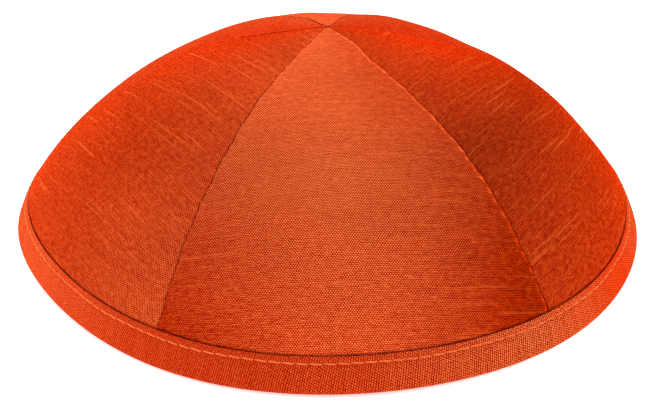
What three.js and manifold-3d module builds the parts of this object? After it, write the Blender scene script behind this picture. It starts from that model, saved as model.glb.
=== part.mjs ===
// A six-panel satin kippah: a shallow skullcap sewn from six triangular gores, lined with white
// satin, bound round its rim with a folded strip, and with a small spring clip inside at the back.
// Millimetres, +Z up. The origin is the centre of the rim, on the surface that the cap rests on.
// -Y is the front, and the clip is on the +Y side.
import * as THREE from "three";
import { mergeVertices } from "three/addons/utils/BufferGeometryUtils.js";
import Module from "manifold-3d";

const radians = THREE.MathUtils.degToRad;

// The cap's driving sizes
const CROWN_FOOT_RADIUS = 81.4; // where the crown's outer face would meet the surface below
const CROWN_HEIGHT = 44;
const PANEL_COUNT = 6;
const CLOTH = 1; // wall of the crown, the lining, the binding and the tab
const GAP = 0.3; // between neighbouring layers, and across each seam
const TIP_RADIUS = 0.7; // each panel's point ends this far from the crown's axis

// The cloth runs flatter than the dome between its seams
const PANEL_FLATNESS = 1.2;
const FLATNESS_STARTS = 14; // distance above the rim, along the wall

// The binding is a strip folded over the rim, wider inside than outside
const BINDING_OUTSIDE = 7.3;
const BINDING_INSIDE = 13;
const BINDING_EDGE = 0.25; // rounding of its two raw edges
const FOLD_INNER_RADIUS = 79.7; // the flat of the fold, which the cap rests on
const FOLD_OUTER_RADIUS = 82;
const STEP_STARTS = 6.5; // the inner leg steps over the lining's edge
const STEP_ENDS = 8;
const CROWN_STARTS = 2.3; // the crown's lower edge, inside the fold
const LINING_STARTS = 9; // the lining's lower edge, under the inner leg

// The lining is a little too full, so it lies in soft folds that run towards the top
const LINING_FOLDS = [
  { azimuth: 8, from: 30, to: 86, height: 1.3, width: 7 },
  { azimuth: 30, from: 24, to: 60, height: 0.8, width: 9 },
  { azimuth: 47, from: 34, to: 80, height: 1.1, width: 8 },
  { azimuth: 134, from: 26, to: 78, height: 1.2, width: 7 },
  { azimuth: 172, from: 28, to: 88, height: 1.4, width: 7 },
  { azimuth: 196, from: 22, to: 64, height: 0.9, width: 9 },
  { azimuth: 268, from: 26, to: 62, height: 0.6, width: 10 },
  { azimuth: 332, from: 24, to: 70, height: 0.8, width: 9 },
];

// Mesh steps, so that the facets of the panels and of the binding line up
const STEPS_ACROSS_CROWN = 12;
const STEPS_UP_CROWN = 11;
const STEPS_ACROSS_LINING = 12;
const STEPS_UP_LINING = 8;
const STEPS_ROUND_RIM = 72;
const STEPS_OF_TAB = 8;
const STEPS_ROUND_PIN = 20;

// The clip, along its own jaw: y from the hinge towards the tip, z away from the cloth
const STEEL = 0.6;
const JAW_LENGTH = 28;
const PAD_LENGTH = 9.5;
const PAD_SPLAY = radians(3); // between the two finger pads when the clip is shut
const PAD_END_ABOVE_RIM = 9.8; // along the wall
const TAB_WIDTH = 13.5;
const TAB_LENGTH = 13;
const TAB_STARTS = 4.5; // above the rim, along the wall
const TAB_ROUNDING = 0.32; // share of its width that the tab loses at its end by the rim
const BASE_WIDTH = 5;
const LEVER_WIDTH = 6;
const EAR_RADIUS = 1.3;
const PIN_HEIGHT = 2.1; // of the pin's axis over the base's underside
const PIN_RADIUS = 0.5;
const PIN_HEAD_RADIUS = 1;
const PIN_HEAD = 0.4;
const TIP_FLAT = 1; // width of each jaw's blunt point
const TIP_TAPER = 6;
const SLOT_WIDTH = 2.6;
const SLOT_FROM = 6; // from the hinge to the centres of the slot's round ends
const SLOT_TO = 20;
const SPRING_WIRE = 0.4;
const SPRING_TAIL = 6;
const JAW_LEAN = radians(2.5); // turns the jaw's tip towards the cloth

// What follows from those sizes: the crown's outer face is part of a sphere
const DOME_RADIUS = (CROWN_FOOT_RADIUS ** 2 + CROWN_HEIGHT ** 2) / (2 * CROWN_HEIGHT);
const DOME_CENTRE = CROWN_HEIGHT - DOME_RADIUS;
const RIM_ANGLE = Math.asin(CROWN_FOOT_RADIUS / DOME_RADIUS); // from the vertical
const WALL_LENGTH = DOME_RADIUS * RIM_ANGLE; // along the crown, rim to top
const PANEL_ANGLE = (2 * Math.PI) / PANEL_COUNT;
const LINING_DEPTH = CLOTH + GAP; // of the lining's outer face under the crown's outer face
const BINDING_INNER_DEPTH = 2 * (CLOTH + GAP); // of the inner leg, where it covers the lining
const TAB_DEPTH = BINDING_INNER_DEPTH + CLOTH + GAP;
const CLIP_DEPTH = TAB_DEPTH + CLOTH + GAP;

// And what follows for the clip
const BASE_EAR_OUTSIDE = BASE_WIDTH / 2;
const LEVER_EAR_INSIDE = BASE_EAR_OUTSIDE + GAP;
const LEVER_EAR_OUTSIDE = LEVER_EAR_INSIDE + STEEL;
const LEVER_RISE = PIN_HEIGHT + EAR_RADIUS + GAP; // of the lever's underside at the hinge
const LEVER_SLOPE = Math.atan2(LEVER_RISE - STEEL - GAP, JAW_LENGTH); // shuts the jaw's tip
const PAD_BEND = (JAW_LENGTH + PAD_LENGTH) / 2 / DOME_RADIUS + JAW_LEAN; // follows the wall
const PIN_HOLE_RADIUS = PIN_RADIUS + GAP;
const HINGE_ABOVE_RIM = PAD_END_ABOVE_RIM + PAD_LENGTH;
const JAW_ANGLE = RIM_ANGLE - (HINGE_ABOVE_RIM + JAW_LENGTH / 2) / DOME_RADIUS + JAW_LEAN;

const materials = {
  orangeSilk: new THREE.MeshStandardMaterial({ color: 0xd9480f, roughness: 0.55, metalness: 0 }),
  orangeBinding: new THREE.MeshStandardMaterial({ color: 0xe0521a, roughness: 0.6, metalness: 0 }),
  whiteSatin: new THREE.MeshStandardMaterial({ color: 0xe8e8e8, roughness: 0.4, metalness: 0 }),
  nickelSteel: new THREE.MeshStandardMaterial({ color: 0xb4b6b8, roughness: 0.25, metalness: 1 }),
};

const wasm = await Module();
wasm.setup();

// A point of the wall's section: how far up the wall it is, and how deep under the crown's face
function sectionPoint(along, depth) {
  const fromTop = RIM_ANGLE - along / DOME_RADIUS;
  const reach = DOME_RADIUS - depth;
  return new THREE.Vector2(reach * Math.sin(fromTop), DOME_CENTRE + reach * Math.cos(fromTop));
}

// The same for a stated height above the surface that the cap rests on
function sectionPointAtHeight(height, depth) {
  const reach = DOME_RADIUS - depth;
  return new THREE.Vector2(Math.sqrt(reach ** 2 - (height - DOME_CENTRE) ** 2), height);
}

// How far a panel dips under the dome: most at its middle, nothing at its seams, rim and point
function panelDip(across, along) {
  const rise = THREE.MathUtils.clamp(
    (along - FLATNESS_STARTS) / (WALL_LENGTH - FLATNESS_STARTS), 0, 1);
  return PANEL_FLATNESS * (1 - across ** 2) * Math.sin(Math.PI * rise) ** 2;
}

// How far the lining's folds lift it off the crown, as rounded ridges that fade at both ends
function foldLift(azimuth, radius, along) {
  let lift = 0;
  for (const fold of LINING_FOLDS) {
    const turn = azimuth - radians(fold.azimuth);
    const aside = radius * Math.atan2(Math.sin(turn), Math.cos(turn));
    const rise = (along - fold.from) / (fold.to - fold.from);
    if (rise <= 0 || rise >= 1) continue;
    lift += fold.height * Math.sin(Math.PI * rise) * Math.exp(-((aside / fold.width) ** 2));
  }
  return lift;
}

// A block with its corners at +-0.5, each point of it moved by place(x, y, z)
function bentBlock(stepsX, stepsY, place) {
  const block = new THREE.BoxGeometry(1, 1, 1, stepsX, stepsY, 1);
  const points = block.getAttribute("position");
  const corner = new THREE.Vector3();
  for (let i = 0; i < points.count; i += 1) {
    corner.fromBufferAttribute(points, i);
    points.setXYZ(i, ...place(corner.x, corner.y, corner.z).toArray());
  }
  block.computeVertexNormals();
  return block;
}

// One gore of cloth between two seams: a triangular wall, curved up and across
function gore(index, starts, outerDepth, stepsAcross, stepsUp, lift) {
  const middle = (index + 0.5) * PANEL_ANGLE;
  const ends = WALL_LENGTH - TIP_RADIUS;
  return bentBlock(stepsAcross, stepsUp, (x, y, z) => {
    const along = starts + (0.5 + y) * (ends - starts);
    const onDome = sectionPoint(along, 0).x;
    const halfAngle = PANEL_ANGLE / 2 - Math.asin(GAP / 2 / onDome);
    const azimuth = middle + 2 * x * halfAngle;
    const sunk = panelDip(2 * x, along) + lift(azimuth, onDome, along);
    const { x: radius, y: height } = sectionPoint(along, outerDepth + (0.5 - z) * CLOTH + sunk);
    return new THREE.Vector3(radius * Math.cos(azimuth), radius * Math.sin(azimuth), height);
  });
}

function crownPanel(index) {
  return gore(index, CROWN_STARTS, 0, STEPS_ACROSS_CROWN, STEPS_UP_CROWN, () => 0);
}

function liningPanel(index) {
  return gore(index, LINING_STARTS, LINING_DEPTH, STEPS_ACROSS_LINING, STEPS_UP_LINING, foldLift);
}

// The strip folded over the rim, as a closed section turned about the cap's axis
function rimBinding() {
  const outside = -GAP - CLOTH;
  const foldTop = CLOTH; // the fold's inner floor
  const edge = BINDING_EDGE;
  const innerUnder = CLOTH + GAP;
  const innerOver = BINDING_INNER_DEPTH;
  const cornerHeight = 1.6; // where the fold's rounding ends on both faces
  const cornerMiddle = 0.5; // and where it is half way
  const cornerCut = 0.15; // that far inside the face
  const section = [
    new THREE.Vector2(FOLD_INNER_RADIUS, 0),
    new THREE.Vector2(FOLD_OUTER_RADIUS, 0),
    sectionPointAtHeight(cornerMiddle, outside + cornerCut),
    sectionPointAtHeight(cornerHeight, outside),
    sectionPoint(BINDING_OUTSIDE / 2, outside),
    sectionPoint(BINDING_OUTSIDE - edge, outside),
    sectionPoint(BINDING_OUTSIDE, outside + edge),
    sectionPoint(BINDING_OUTSIDE, -GAP - edge),
    sectionPoint(BINDING_OUTSIDE - edge, -GAP),
    sectionPointAtHeight(foldTop, -GAP),
    sectionPointAtHeight(foldTop, innerUnder),
    sectionPoint(STEP_STARTS, innerUnder),
    sectionPoint(STEP_ENDS, innerOver),
    sectionPoint(BINDING_INSIDE - edge, innerOver),
    sectionPoint(BINDING_INSIDE, innerOver + edge),
    sectionPoint(BINDING_INSIDE, innerOver + CLOTH - edge),
    sectionPoint(BINDING_INSIDE - edge, innerOver + CLOTH),
    sectionPoint(STEP_ENDS, innerOver + CLOTH),
    sectionPoint(STEP_STARTS, innerUnder + CLOTH),
    sectionPointAtHeight(cornerHeight, innerUnder + CLOTH),
    sectionPointAtHeight(cornerMiddle, innerUnder + CLOTH - cornerCut),
    new THREE.Vector2(FOLD_INNER_RADIUS, 0),
  ];
  return new THREE.LatheGeometry(section, STEPS_ROUND_RIM).rotateX(Math.PI / 2);
}

// A closed geometry as a manifold-3d solid, and back
function solidOf(geometry) {
  const bare = geometry.clone();
  bare.deleteAttribute("normal");
  bare.deleteAttribute("uv");
  const merged = mergeVertices(bare, 1e-4);
  return new wasm.Manifold(new wasm.Mesh({
    numProp: 3,
    vertProperties: merged.getAttribute("position").array,
    triVerts: new Uint32Array(merged.index.array),
  }));
}

function geometryOf(solid) {
  const { vertProperties, triVerts } = solid.getMesh();
  const geometry = new THREE.BufferGeometry();
  geometry.setAttribute("position", new THREE.BufferAttribute(new Float32Array(vertProperties), 3));
  geometry.setIndex(new THREE.BufferAttribute(new Uint32Array(triVerts), 1));
  geometry.computeVertexNormals();
  return geometry;
}

function fuse(geometries, holes = []) {
  const joined = geometries.map(solidOf).reduce((all, next) => all.add(next));
  return geometryOf(holes.map(solidOf).reduce((left, hole) => left.subtract(hole), joined));
}

// A sheet-steel outline in the clip's x and y, with its underside at z = 0
function steelPlate(outline) {
  return new THREE.ExtrudeGeometry(outline, { depth: STEEL, bevelEnabled: false, curveSegments: 6 });
}

// A jaw from the hinge to its blunt point, with a slot where the jaw is two prongs
function jawOutline(width, slotted) {
  const half = width / 2;
  const outline = new THREE.Shape([
    new THREE.Vector2(-half, 0),
    new THREE.Vector2(half, 0),
    new THREE.Vector2(half, JAW_LENGTH - TIP_TAPER),
    new THREE.Vector2(TIP_FLAT / 2, JAW_LENGTH),
    new THREE.Vector2(-TIP_FLAT / 2, JAW_LENGTH),
    new THREE.Vector2(-half, JAW_LENGTH - TIP_TAPER),
  ]);
  if (slotted) {
    const slot = new THREE.Path();
    slot.absarc(0, SLOT_TO, SLOT_WIDTH / 2, 0, Math.PI, false);
    slot.absarc(0, SLOT_FROM, SLOT_WIDTH / 2, Math.PI, 2 * Math.PI, false);
    outline.holes.push(slot);
  }
  return outline;
}

// A finger pad, with a round end, running from the hinge away from the jaw
function padOutline(width) {
  const half = width / 2;
  const outline = new THREE.Shape();
  outline.moveTo(half, 0);
  outline.lineTo(-half, 0);
  outline.lineTo(-half, half - PAD_LENGTH);
  outline.absarc(0, half - PAD_LENGTH, half, Math.PI, 2 * Math.PI, false);
  return outline;
}

// An ear standing on edge at x, with a round end about the pin
function ear(x, from, to) {
  const outline = new THREE.Shape();
  const [low, high] = from < to ? [0, Math.PI] : [Math.PI, 2 * Math.PI];
  outline.moveTo(from < to ? -EAR_RADIUS : EAR_RADIUS, from);
  outline.lineTo(from < to ? EAR_RADIUS : -EAR_RADIUS, from);
  outline.absarc(0, to, EAR_RADIUS, low, high, false);
  const plate = new THREE.ExtrudeGeometry(outline, {
    depth: STEEL, bevelEnabled: false, curveSegments: 10 });
  // Extruded along z over an outline in x and y: turned so that it stands in y and z
  plate.applyMatrix4(new THREE.Matrix4().makeBasis(
    new THREE.Vector3(0, 1, 0), new THREE.Vector3(0, 0, 1), new THREE.Vector3(1, 0, 0)));
  return plate.translate(x, 0, 0);
}

// The hole for the pin, cut right through the clip
function pinHole() {
  return new THREE.CylinderGeometry(
    PIN_HOLE_RADIUS, PIN_HOLE_RADIUS, 4 * LEVER_EAR_OUTSIDE, STEPS_ROUND_PIN)
    .rotateZ(Math.PI / 2)
    .translate(0, 0, PIN_HEIGHT);
}

// The lower half, sewn down by its pad: jaw, pad bent to the wall, and two ears for the pin
function clipBase() {
  const jaw = steelPlate(jawOutline(BASE_WIDTH, false));
  const pad = steelPlate(padOutline(BASE_WIDTH)).rotateX(-PAD_BEND);
  const ears = [-BASE_EAR_OUTSIDE, BASE_EAR_OUTSIDE - STEEL].map((x) => ear(x, STEEL / 2, PIN_HEIGHT));
  return fuse([jaw, pad, ...ears], [pinHole()]);
}

// The upper half: two prongs that close on the base's tip, a finger pad, and two outer ears
function clipLever() {
  const jaw = steelPlate(jawOutline(LEVER_WIDTH, true))
    .rotateX(-LEVER_SLOPE)
    .translate(0, 0, LEVER_RISE);
  const pad = steelPlate(padOutline(LEVER_WIDTH))
    .rotateX(-PAD_BEND - PAD_SPLAY)
    .translate(0, 0, LEVER_RISE);
  const saddle = new THREE.BoxGeometry(2 * LEVER_EAR_OUTSIDE, 2 * EAR_RADIUS, STEEL)
    .translate(0, 0, LEVER_RISE + STEEL / 2);
  const ears = [-LEVER_EAR_OUTSIDE, LEVER_EAR_INSIDE].map((x) => ear(x, LEVER_RISE + STEEL / 2, PIN_HEIGHT));
  return fuse([jaw, pad, saddle, ...ears], [pinHole()]);
}

// The pin through all four ears, with a round head at each end
function clipPin() {
  const headStarts = LEVER_EAR_OUTSIDE + GAP;
  const half = [
    new THREE.Vector2(0, -headStarts - PIN_HEAD),
    new THREE.Vector2(PIN_HEAD_RADIUS, -headStarts - PIN_HEAD),
    new THREE.Vector2(PIN_HEAD_RADIUS, -headStarts),
    new THREE.Vector2(PIN_RADIUS, -headStarts),
  ];
  const mirrored = half.map(({ x, y }) => new THREE.Vector2(x, -y)).reverse();
  return new THREE.LatheGeometry([...half, ...mirrored], STEPS_ROUND_PIN)
    .rotateZ(-Math.PI / 2)
    .translate(0, 0, PIN_HEIGHT);
}

// The spring's coil round the pin, between the base's ears, and its tail along the base's pad
function clipSpring() {
  const half = BASE_EAR_OUTSIDE - STEEL - GAP;
  const outer = PIN_HOLE_RADIUS + SPRING_WIRE;
  const coil = new THREE.LatheGeometry([
    new THREE.Vector2(PIN_HOLE_RADIUS, -half),
    new THREE.Vector2(outer, -half),
    new THREE.Vector2(outer, half),
    new THREE.Vector2(PIN_HOLE_RADIUS, half),
    new THREE.Vector2(PIN_HOLE_RADIUS, -half),
  ], STEPS_ROUND_PIN).rotateZ(-Math.PI / 2).translate(0, 0, PIN_HEIGHT);
  const tail = new THREE.BoxGeometry(2 * SPRING_WIRE, SPRING_TAIL, SPRING_WIRE)
    .translate(0, -SPRING_TAIL / 2, STEEL + GAP + SPRING_WIRE / 2)
    .rotateX(-PAD_BEND);
  return fuse([coil, tail], [pinHole()]);
}

// The white tab that the clip's pad is sewn to, over the binding's inner leg
function clipTab() {
  return bentBlock(STEPS_OF_TAB, STEPS_OF_TAB, (x, y, z) => {
    const along = TAB_STARTS + (0.5 + y) * TAB_LENGTH;
    const nearRim = Math.max(0, -2 * y) ** 4; // 1 at the end by the rim
    const { x: radius, y: height } = sectionPoint(along, TAB_DEPTH + (0.5 - z) * CLOTH);
    const aside = -x * TAB_WIDTH * (1 - TAB_ROUNDING * nearRim);
    return new THREE.Vector3(aside, Math.sqrt(radius ** 2 - aside ** 2), height);
  });
}

function mesh(name, geometry, material) {
  const made = new THREE.Mesh(geometry, material);
  made.name = name;
  return made;
}

const clip = new THREE.Group();
const hinge = sectionPoint(HINGE_ABOVE_RIM, CLIP_DEPTH);
clip.position.set(0, hinge.x, hinge.y);
clip.rotation.x = Math.PI - JAW_ANGLE;
clip.add(
  mesh("clip_base", clipBase(), materials.nickelSteel),
  mesh("clip_lever", clipLever(), materials.nickelSteel),
  mesh("clip_pin", clipPin(), materials.nickelSteel),
  mesh("clip_spring", clipSpring(), materials.nickelSteel),
);

const kippah = new THREE.Group();
for (let i = 0; i < PANEL_COUNT; i += 1) {
  kippah.add(mesh(`crown_panel_${i + 1}`, crownPanel(i), materials.orangeSilk));
  kippah.add(mesh(`lining_panel_${i + 1}`, liningPanel(i), materials.whiteSatin));
}
kippah.add(
  mesh("rim_binding", rimBinding(), materials.orangeBinding),
  mesh("clip_tab", clipTab(), materials.whiteSatin),
  clip,
);

export default kippah;
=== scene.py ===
"""The visual model of a six-panel kippah: silk gores, folded binding, satin lining and clip."""
import math

import bmesh
import bpy
import numpy as np
from mathutils import Matrix, Vector


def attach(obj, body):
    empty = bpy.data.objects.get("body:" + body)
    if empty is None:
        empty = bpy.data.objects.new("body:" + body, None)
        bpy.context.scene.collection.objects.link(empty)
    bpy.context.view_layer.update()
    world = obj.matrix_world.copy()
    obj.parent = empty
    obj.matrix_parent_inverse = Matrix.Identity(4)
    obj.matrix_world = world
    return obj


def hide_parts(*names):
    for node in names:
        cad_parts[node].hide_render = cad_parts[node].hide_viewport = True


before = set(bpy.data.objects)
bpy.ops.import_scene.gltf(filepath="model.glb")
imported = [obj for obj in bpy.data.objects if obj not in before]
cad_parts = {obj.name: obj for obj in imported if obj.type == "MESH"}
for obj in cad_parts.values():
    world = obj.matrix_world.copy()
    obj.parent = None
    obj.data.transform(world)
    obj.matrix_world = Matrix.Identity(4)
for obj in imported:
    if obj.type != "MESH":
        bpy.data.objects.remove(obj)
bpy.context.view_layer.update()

MM = 0.001
TURN = 2 * math.pi

# Sizes that the part's source states, in metres
CROWN_FOOT_RADIUS = 81.4 * MM
CROWN_HEIGHT = 44 * MM
PANELS = 6
PANEL_ANGLE = TURN / PANELS
CROWN_STARTS = 2.3 * MM
LINING_STARTS = 9 * MM
LINING_DEPTH = 1.3 * MM
TAB_DEPTH = 3.9 * MM
TAB_WIDTH = 13.5 * MM
TAB_LENGTH = 13 * MM
TAB_STARTS = 4.5 * MM
TAB_ROUNDING = 0.32
CLIP_DEPTH = 5.2 * MM
HINGE_ABOVE_RIM = 19.3 * MM
JAW_LENGTH = 28 * MM
PAD_LENGTH = 9.5 * MM
JAW_LEAN = math.radians(2.5)
PIN_HEIGHT = 2.1 * MM
STEEL = 0.6 * MM

# The dome that the walls follow, and how the clip lies on it
DOME_RADIUS = (CROWN_FOOT_RADIUS ** 2 + CROWN_HEIGHT ** 2) / (2 * CROWN_HEIGHT)
DOME_CENTRE = CROWN_HEIGHT - DOME_RADIUS
RIM_ANGLE = math.asin(CROWN_FOOT_RADIUS / DOME_RADIUS)
WALL_LENGTH = DOME_RADIUS * RIM_ANGLE
JAW_ANGLE = RIM_ANGLE - (HINGE_ABOVE_RIM + JAW_LENGTH / 2) / DOME_RADIUS + JAW_LEAN
PAD_BEND = (JAW_LENGTH + PAD_LENGTH) / 2 / DOME_RADIUS + JAW_LEAN


def put_in_scene(name, data):
    """An object of a mesh, a lamp or a camera."""
    holder = bpy.data.objects.new(name, data)
    bpy.context.scene.collection.objects.link(holder)
    return holder


# Camera, first of all, at the photograph's angle

CAMERA_TILT = math.radians(31.15)
CAMERA_TURN = math.radians(-3.81)
CAMERA_ROLL = math.radians(-0.21)
CAMERA_DISTANCE = 205.06 * MM
CAMERA_AIM = (-0.79 * MM, 0.0, -6.52 * MM)
# The picture's width and the focal length in its pixels, and the sensor's width in millimetres
IMAGE_WIDTH = 650
FOCAL_PIXELS = 712.0
SENSOR = 36.0
NEAREST_SEEN = 10 * MM


def place_camera():
    """The camera stands a stated distance back from its aim, tilted down, rolled, turned round Z."""
    turn = Matrix.Rotation(CAMERA_TURN, 3, "Z")
    forward = turn @ Matrix.Rotation(-CAMERA_TILT, 3, "X") @ Vector((0, 1, 0))
    right = turn @ Vector((1, 0, 0))
    up = right.cross(forward)
    level = Matrix((right, up, -forward)).transposed()
    camera = bpy.data.cameras.new("camera")
    camera.sensor_width = SENSOR
    camera.lens = FOCAL_PIXELS * SENSOR / IMAGE_WIDTH
    camera.clip_start = NEAREST_SEEN
    holder = put_in_scene("camera", camera)
    aim = turn @ Vector(CAMERA_AIM)
    rolled = level @ Matrix.Rotation(CAMERA_ROLL, 3, "Z")
    holder.matrix_world = Matrix.Translation(aim - forward * CAMERA_DISTANCE) @ rolled.to_4x4()
    bpy.context.scene.camera = holder


place_camera()
bpy.context.scene.view_settings.view_transform = "Standard"


# Meshes from grids of points

CLOTH_MAP = "cloth"


def quad_indices(rows, columns, rows_closed=False, columns_closed=False):
    """The four corners of each cell of a grid, and the same corners before they wrap round."""
    row, column = np.meshgrid(np.arange(rows if rows_closed else rows - 1),
                              np.arange(columns if columns_closed else columns - 1), indexing="ij")
    row, column = row.ravel(), column.ravel()
    corner_rows = np.stack([row, row, row + 1, row + 1], -1)
    corner_columns = np.stack([column, column + 1, column + 1, column], -1)
    corners = (corner_rows % rows) * columns + corner_columns % columns
    unwrapped = corner_rows * (columns + columns_closed) + corner_columns
    return corners, unwrapped


def add_mesh(name, points, quads, finish, corner_uv=None, point_values=None):
    """A mesh of quads from arrays, with a UV for each corner and named numbers for each point."""
    mesh = bpy.data.meshes.new(name)
    mesh.vertices.add(len(points))
    mesh.vertices.foreach_set("co", points.astype(np.float32).ravel())
    mesh.loops.add(quads.size)
    mesh.loops.foreach_set("vertex_index", quads.astype(np.int32).ravel())
    mesh.polygons.add(len(quads))
    mesh.polygons.foreach_set("loop_start", np.arange(0, quads.size, 4, dtype=np.int32))
    mesh.polygons.foreach_set("use_smooth", np.ones(len(quads), bool))
    mesh.update(calc_edges=True)
    if corner_uv is not None:
        layer = mesh.uv_layers.new(name=CLOTH_MAP)
        layer.data.foreach_set("uv", corner_uv.astype(np.float32).ravel())
    for key, values in (point_values or {}).items():
        attribute = mesh.attributes.new(key, "FLOAT", "POINT")
        attribute.data.foreach_set("value", values.astype(np.float32).ravel())
    mesh.validate()
    mesh.materials.append(finish)
    return put_in_scene(name, mesh)


def add_tube_grid(name, points, uv, rows_closed, finish, point_values=None):
    """A grid closed round its columns, and closed along its rows or capped by a fan of quads."""
    rows, columns = points.shape[:2]
    quads, unwrapped = quad_indices(rows, columns, rows_closed, True)
    corner_uv = uv.reshape(-1, 2)[unwrapped]
    if not rows_closed:
        step = np.arange(columns // 2 - 1)
        low = np.stack([step, columns - 1 - step, columns - 2 - step, step + 1], -1)
        high = (rows - 1) * columns + low[:, ::-1]
        quads = np.concatenate([quads, low, high])
        corner_uv = np.concatenate([corner_uv, np.zeros((2 * len(low), 4, 2))])
    return add_mesh(name, points.reshape(-1, 3), quads[:, ::-1], finish, corner_uv[:, ::-1],
                    point_values)


def add_closed_sheet(name, upper, under, uv, finish, point_values=None):
    """A sheet with thickness: an upper grid, an under grid, and strips that close its borders."""
    rows, columns = upper.shape[:2]
    count = rows * columns
    face, _ = quad_indices(rows, columns)
    index = np.arange(count).reshape(rows, columns)
    strips = [np.stack([line[:-1], line[1:], line[1:] + count, line[:-1] + count], -1)
              for line in (index[0, ::-1], index[-1, :], index[:, 0], index[::-1, -1])]
    quads = np.concatenate([face, face[:, ::-1] + count, *strips])
    points = np.concatenate([upper.reshape(-1, 3), under.reshape(-1, 3)])
    both = np.tile(uv.reshape(-1, 2), (2, 1))
    doubled = {key: np.tile(values.ravel(), 2) for key, values in (point_values or {}).items()}
    return add_mesh(name, points, quads, finish, both[quads], doubled)


def distances(path):
    """The distance along a path, from its first point to each of its points."""
    return np.concatenate([[0], np.cumsum(np.linalg.norm(np.diff(path, axis=0), axis=-1))])


def grid_map(down, across):
    """The map of a grid of points, from the distances of its rows and of its columns."""
    return np.stack(np.meshgrid(down, across, indexing="ij"), -1)


def rings_along(path, radius, sides, beside, closed=False):
    """Rings square to a path: a radius by its sines towards a direction beside it, cosines across."""
    if closed:
        ahead = np.roll(path, -1, 0) - np.roll(path, 1, 0)
    else:
        ahead = np.gradient(path, axis=0)
    ahead = ahead / np.linalg.norm(ahead, axis=-1, keepdims=True)
    first = np.cross(ahead, beside)
    first = first / np.linalg.norm(first, axis=-1, keepdims=True)
    second = np.cross(first, ahead)
    angle = (np.arange(sides) * TURN / sides)[None, :, None]
    radius = np.broadcast_to(radius, (len(path),))[:, None, None]
    return path[:, None, :] + radius * (np.cos(angle) * first[:, None, :]
                                        + np.sin(angle) * second[:, None, :])


# Places on the wall

# Waves round the rim that soft cloth settles to, with the millimetres of their cosine and sine
RIM_WAVES = [(2, -0.32, -0.27), (3, -0.42, -0.79), (4, 0.29, 0.03), (5, -0.38, -0.29), (6, 0.46, 0.01)]
# They fade towards the clip, between these sines of the azimuth, and are gone so far up the wall
WAVES_FADE = (0.1, 0.85)
WAVES_END = 75 * MM


def ease(value, low, high):
    """0 below low, 1 above high, and the smooth cubic between them."""
    t = np.clip((value - low) / (high - low), 0, 1)
    return t * t * (3 - 2 * t)


def bell(distance, width):
    """1 at no distance, falling on both sides by the exponential of minus its square."""
    return np.exp(-(distance / width) ** 2)


def held_at_ends(along, foot, top):
    """1 over most of a gore, eased to 0 over two stretches, at its foot and at its top."""
    return ease(along, foot[0], foot[1]) * ease(WALL_LENGTH - along, top[0], top[1])


def out_of_round(azimuth, along):
    """How far the wall stands outwards: a sum of waves round the rim, none at the clip or high up."""
    waves = sum(c * np.cos(n * azimuth) + s * np.sin(n * azimuth) for n, c, s in RIM_WAVES)
    return MM * waves * (1 - ease(np.sin(azimuth), *WAVES_FADE)) * (1 - ease(along, 0, WAVES_END))


def on_wall(azimuth, along, depth):
    """The point that is so far round, so far up the wall from the rim, so deep under its face."""
    azimuth, along, depth = np.broadcast_arrays(azimuth, along, depth)
    from_top = RIM_ANGLE - along / DOME_RADIUS
    reach = DOME_RADIUS - depth
    radius = reach * np.sin(from_top) + out_of_round(azimuth, along)
    return np.stack([radius * np.cos(azimuth), radius * np.sin(azimuth),
                     DOME_CENTRE + reach * np.cos(from_top)], -1)


def wall_radius(along):
    """Distance of the crown's face from the cap's axis."""
    return DOME_RADIUS * np.sin(RIM_ANGLE - along / DOME_RADIUS)


# Gores of the crown

# Rows up the wall and columns across a gore
CROWN_GRID = (176, 61)
CROWN_CLOTH = 0.7 * MM
TIP_RADIUS = 0.22 * MM
# Millimetres that each seam runs beside its even place, at these heights up the wall
SEAM_HEIGHTS = (8, 28, 46, 62, 76, 88, 96.4)
SEAM_SHIFTS = [
    (1.0, 1.0, 1.0, 0.3, -0.8, 0.4, 0),
    (1.0, 1.0, 1.4, 1.8, 1.9, 1.3, 0),
    (-0.4, -0.4, -0.6, -0.9, -1.1, -1.3, 0),
    (1.0, 1.2, 0.6, -2.3, -0.6, 0.45, 0),
    (0.65, 0.47, 0.35, 0.1, 0.4, 0.4, 0),
    (0.47, 0.65, 0.3, -0.5, -1.3, 0.3, 0),
]
# Fine waves of each seam: millimetres aside, millimetres from wave to wave, and each seam's start
SEAM_WAVES = [(0.11, 9.3, 1.7), (0.06, 3.4, 2.9)]
# Distances from the cap's axis: straight seams up to the first, free ones from the second
SEAMS_STRAIGHT = (1 * MM, 12 * MM)
SEAM_LAP = 0.005 * MM
SEAM_ROLL = 0.28 * MM
# How much rounder the turned edges are near the top, from the first height to the second
ROLL_ROUNDER = 0.2
ROLL_RISE = (76 * MM, 92 * MM)
# How far the crown stands out past a plain sphere: half way up, lower than that, and at its top
FULL_MIDDLE = 0.7 * MM
FULL_LOWER = -0.01 * MM
FULL_TOP = 0.82 * MM
# How far it stands out above the binding that holds it in, and the heights of that swell
FOOT_BELLY = 0.95 * MM
BELLY_STARTS = 7 * MM
BELLY_FULL = 8.5 * MM
BELLY_ENDS = 79 * MM
PANEL_FLATNESS = 0.42 * MM
FLATNESS_STARTS = 14 * MM
# Hollows of hand-pressed cloth: times round the cap, millimetres up the wall a radian, start, share
SWAYS = [(5, 9, 0, 1), (9, -14, 1.3, 0.7), (14, 6.5, 0.4, 0.5)]
SWAY_DEPTH = 0.16 * MM
SWAY_ENDS = ((8 * MM, 26 * MM), (4 * MM, 26 * MM))
# Puckers beside the seams, and how far up the wall their pitch and their depth vary by a radian
PUCKER_PITCH = 2.85 * MM
PUCKER_DEPTH = 0.11 * MM
PUCKER_REACH = 2.6 * MM
PITCH_VARIES = 5.1 * MM
DEPTH_VARIES = 11 * MM
PUCKER_ENDS = ((7 * MM, 11 * MM), (2 * MM, 12 * MM))
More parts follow.
